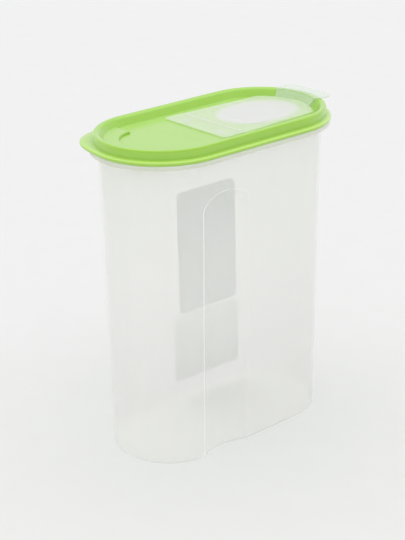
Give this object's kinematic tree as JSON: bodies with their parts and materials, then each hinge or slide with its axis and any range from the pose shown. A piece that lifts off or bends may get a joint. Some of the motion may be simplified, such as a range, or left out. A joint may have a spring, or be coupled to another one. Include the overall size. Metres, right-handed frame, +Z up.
{
  "type": "food storage container",
  "caption": "Tall oval food storage tub of translucent plastic with side finger grooves, a press-on green lid with a pull tab, and a hinged pouring flap over an oval opening.",
  "frame": {"origin": "middle of the flat underside, on the surface that the tub stands on, halfway between the centres of its two round ends", "axes": "+X along the long axis to the pouring end, +Y across to the labelled back, +Z up"},
  "size_m": [0.198, 0.1039, 0.2412],
  "materials": {
    "natural_plastic": "satin translucent polypropylene",
    "green_plastic": "satin light green polyethylene",
    "clear_plastic": "smooth translucent polypropylene",
    "grey_label": "blank printed film label",
    "pale_label": "blank white film label"
  },
  "bodies": {
    "container": {"tub": "natural_plastic", "upper_label": "grey_label", "lower_label": "pale_label"},
    "lid": {"lid": "green_plastic", "flap_tail": "clear_plastic", "hinge_web": "clear_plastic"},
    "flap": {"pour_flap": "clear_plastic"}
  },
  "joints": [
    {"name": "lid_lift", "type": "slide", "parent": "container", "child": "lid", "axis": [0, 0, 1], "range_m": [0, 0.06]},
    {"name": "flap_hinge", "type": "hinge", "parent": "lid", "child": "flap", "pos_m": [0.001, 0, 0.2355], "axis": [0, -1, 0], "range_deg": [0, 170], "deforming": ["hinge_web"]}
  ]
}
